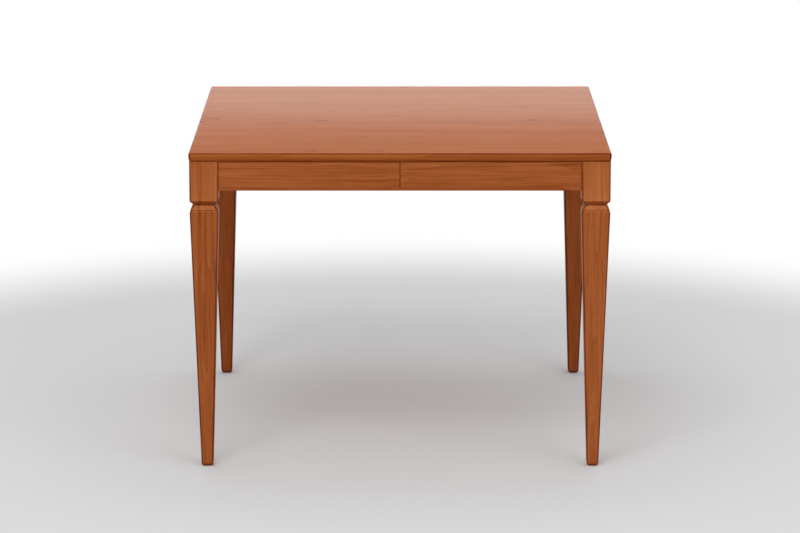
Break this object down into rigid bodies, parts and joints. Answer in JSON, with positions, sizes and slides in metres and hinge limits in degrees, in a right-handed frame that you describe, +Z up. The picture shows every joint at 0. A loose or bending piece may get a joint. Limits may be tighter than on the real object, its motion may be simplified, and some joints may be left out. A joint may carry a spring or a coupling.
{
  "type": "tavern table",
  "caption": "Square wooden tavern table with a one-piece top, tapered collared legs and handle-less drawers that slide out of the front apron.",
  "frame": {"origin": "middle of the floor under the table, at the level of the feet", "axes": "+Z up, -Y out of the drawer fronts towards the person who opens them, +X to that person's right"},
  "size_m": [1, 1, 0.77],
  "materials": {
    "cherry_stain": "reddish-brown cherry stain under satin varnish, darker along the edges",
    "plain_wood": "planed beech, thinly sealed",
    "panel_wood": "thin sanded birch plywood",
    "screw_steel": "zinc-plated steel"
  },
  "bodies": {
    "frame": {"table_top": "cherry_stain", "leg_front_left": "cherry_stain", "leg_front_right": "cherry_stain", "leg_back_left": "cherry_stain", "leg_back_right": "cherry_stain", "left_apron": "cherry_stain", "right_apron": "cherry_stain", "back_apron": "cherry_stain", "front_rail": "plain_wood", "cross_rail": "plain_wood", "centre_partition": "plain_wood", "left_batten": "plain_wood", "right_batten": "plain_wood", "left_outer_runner": "plain_wood", "left_inner_runner": "plain_wood", "right_inner_runner": "plain_wood", "right_outer_runner": "plain_wood", "top_buttons": "plain_wood", "button_screws": "screw_steel", "rail_screws": "screw_steel"},
    "left_drawer": {"left_drawer_front": "cherry_stain", "left_drawer_left_side": "plain_wood", "left_drawer_right_side": "plain_wood", "left_drawer_back": "plain_wood", "left_drawer_bottom": "panel_wood", "left_drawer_stop": "plain_wood", "left_drawer_screws": "screw_steel"},
    "right_drawer": {"right_drawer_front": "cherry_stain", "right_drawer_left_side": "plain_wood", "right_drawer_right_side": "plain_wood", "right_drawer_back": "plain_wood", "right_drawer_bottom": "panel_wood", "right_drawer_stop": "plain_wood", "right_drawer_screws": "screw_steel"}
  },
  "joints": [
    {"name": "left_drawer_slide", "type": "slide", "parent": "frame", "child": "left_drawer", "axis": [0, -1, 0], "range_m": [0, 0.374]},
    {"name": "right_drawer_slide", "type": "slide", "parent": "frame", "child": "right_drawer", "axis": [0, -1, 0], "range_m": [0, 0.374]}
  ]
}
